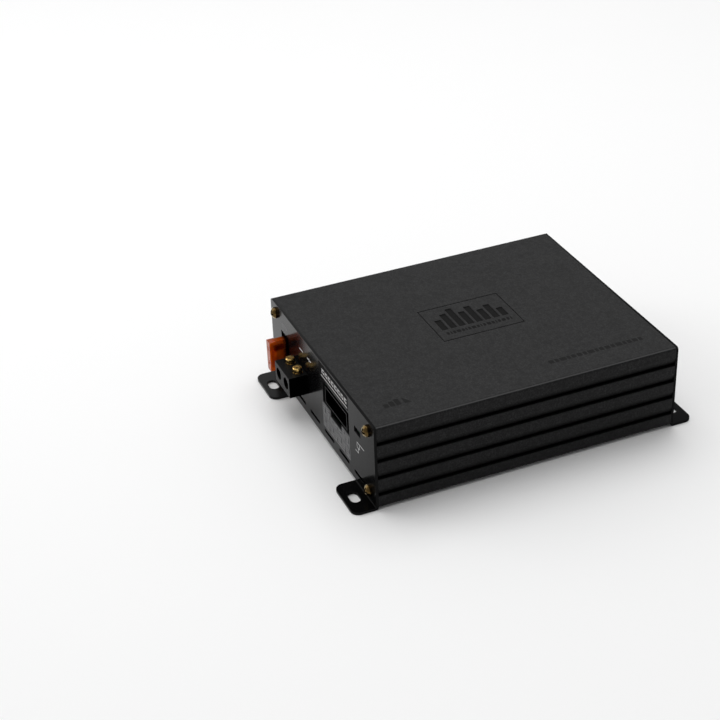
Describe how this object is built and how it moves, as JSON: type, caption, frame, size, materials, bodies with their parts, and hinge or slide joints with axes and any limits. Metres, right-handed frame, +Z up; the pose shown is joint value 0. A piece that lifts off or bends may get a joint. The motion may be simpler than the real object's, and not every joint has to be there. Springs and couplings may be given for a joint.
{
  "type": "car audio amplifier",
  "caption": "Compact car amplifier with signal processor: grooved black extruded housing, bent end panels with slotted feet, screw terminals, blade fuse and harness socket",
  "frame": {"origin": "centre of the four mounting slots, on the underside of the feet", "axes": "+X across the width towards the data port side, +Y along the length from the connector panel to the rear panel, +Z up"},
  "size_m": [0.148, 0.2024, 0.0506],
  "materials": {
    "housing_black": "fine matt black coat on extruded aluminium",
    "panel_black": "smooth semi-gloss black coat on steel sheet",
    "cover_black": "plain black coat on steel sheet",
    "screw_black": "black steel screws",
    "screw_gold": "yellow-zinc plated steel screws",
    "brass_plain": "machined brass",
    "steel_plain": "nickel plated steel",
    "zinc_blade": "plated zinc stamping",
    "aluminium_plain": "plain aluminium bar",
    "block_plastic": "moulded black plastic",
    "socket_plastic": "moulded black plastic",
    "shutter_plastic": "moulded dark grey plastic",
    "fuse_orange": "clear orange plastic",
    "contact_gold": "gold plated contacts",
    "board_green": "glass fibre board with green resist",
    "film_pale": "insulating film",
    "chip_black": "moulded semiconductor bodies",
    "ferrite_grey": "sintered ferrite",
    "copper_wire": "enamelled copper wire",
    "tape_yellow": "polyester tape over the winding",
    "sleeve_dark": "shrunk dark sleeve",
    "film_red": "dipped film capacitors",
    "pad_grey": "soft thermal pad",
    "light_clear": "clear resin"
  },
  "bodies": {
    "chassis": {"housing": "housing_black", "bottom_cover": "cover_black", "cover_screws": "screw_black", "front_panel": "panel_black", "rear_panel": "panel_black", "panel_screws": "screw_gold", "terminal_block": "block_plastic", "clamp_bodies": "brass_plain", "fuse_holder": "block_plastic", "fuse_clips": "steel_plain", "harness_socket": "socket_plastic", "harness_pins": "contact_gold", "usb_shell": "steel_plain", "usb_tongue": "socket_plastic", "main_board": "board_green", "board_screws": "steel_plain", "standoffs": "steel_plain", "insulating_sheet": "film_pale", "signal_board": "board_green", "spacers": "brass_plain", "spacer_screws": "steel_plain", "board_link": "socket_plastic", "dsp_board": "board_green", "dsp_connectors": "socket_plastic", "dsp_chip": "chip_black", "crystal": "steel_plain", "input_choke_core": "ferrite_grey", "input_choke_winding": "copper_wire", "supply_capacitors": "sleeve_dark", "rail_capacitors": "sleeve_dark", "transformer_core": "ferrite_grey", "transformer_winding": "tape_yellow", "rail_chokes": "ferrite_grey", "supply_transistors": "chip_black", "transistor_leads": "steel_plain", "amp_modules": "chip_black", "amp_module_leads": "steel_plain", "thermal_pads": "pad_grey", "clamp_bars": "aluminium_plain", "clamp_bar_screws": "steel_plain", "output_inductors": "ferrite_grey", "film_capacitors": "film_red", "small_parts": "chip_black", "line_out_block": "socket_plastic", "line_out_sleeves": "contact_gold", "line_out_contacts": "contact_gold", "optical_socket": "socket_plastic", "shutter_spring": "steel_plain", "remote_socket": "socket_plastic", "module_socket": "socket_plastic", "rear_contacts": "contact_gold", "status_light": "light_clear"},
    "fuse": {"fuse_body": "fuse_orange", "fuse_link": "zinc_blade"},
    "pad_left": {"clamp_pad_left": "steel_plain"},
    "pad_right": {"clamp_pad_right": "steel_plain"},
    "screw_left": {"clamp_screw_left": "brass_plain"},
    "screw_right": {"clamp_screw_right": "brass_plain"},
    "shutter": {"optical_shutter": "shutter_plastic"}
  },
  "joints": [
    {"name": "fuse_pull", "type": "slide", "parent": "chassis", "child": "fuse", "axis": [0, -1, 0], "range_m": [0, 0.022]},
    {"name": "clamp_left_travel", "type": "slide", "parent": "chassis", "child": "pad_left", "axis": [0, 0, 1], "range_m": [-0.005, 0]},
    {"name": "clamp_left_turn", "type": "hinge", "parent": "pad_left", "child": "screw_left", "pos_m": [-0.0356, -0.0923, 0.028], "axis": [0, 0, 1], "range_deg": [-1800, 0]},
    {"name": "clamp_right_travel", "type": "slide", "parent": "chassis", "child": "pad_right", "axis": [0, 0, 1], "range_m": [-0.005, 0]},
    {"name": "clamp_right_turn", "type": "hinge", "parent": "pad_right", "child": "screw_right", "pos_m": [-0.0246, -0.0923, 0.028], "axis": [0, 0, 1], "range_deg": [-1800, 0]},
    {"name": "shutter_swing", "type": "hinge", "parent": "chassis", "child": "shutter", "pos_m": [-0.003, 0.0873, 0.02115], "axis": [1, 0, 0], "range_deg": [-78, 0], "stiffness_Nm_per_rad": 0.0002}
  ],
  "couplings": [
    {"joint": "clamp_left_turn", "follows": "clamp_left_travel", "rad_per_m": 6283.2},
    {"joint": "clamp_right_turn", "follows": "clamp_right_travel", "rad_per_m": 6283.2}
  ]
}
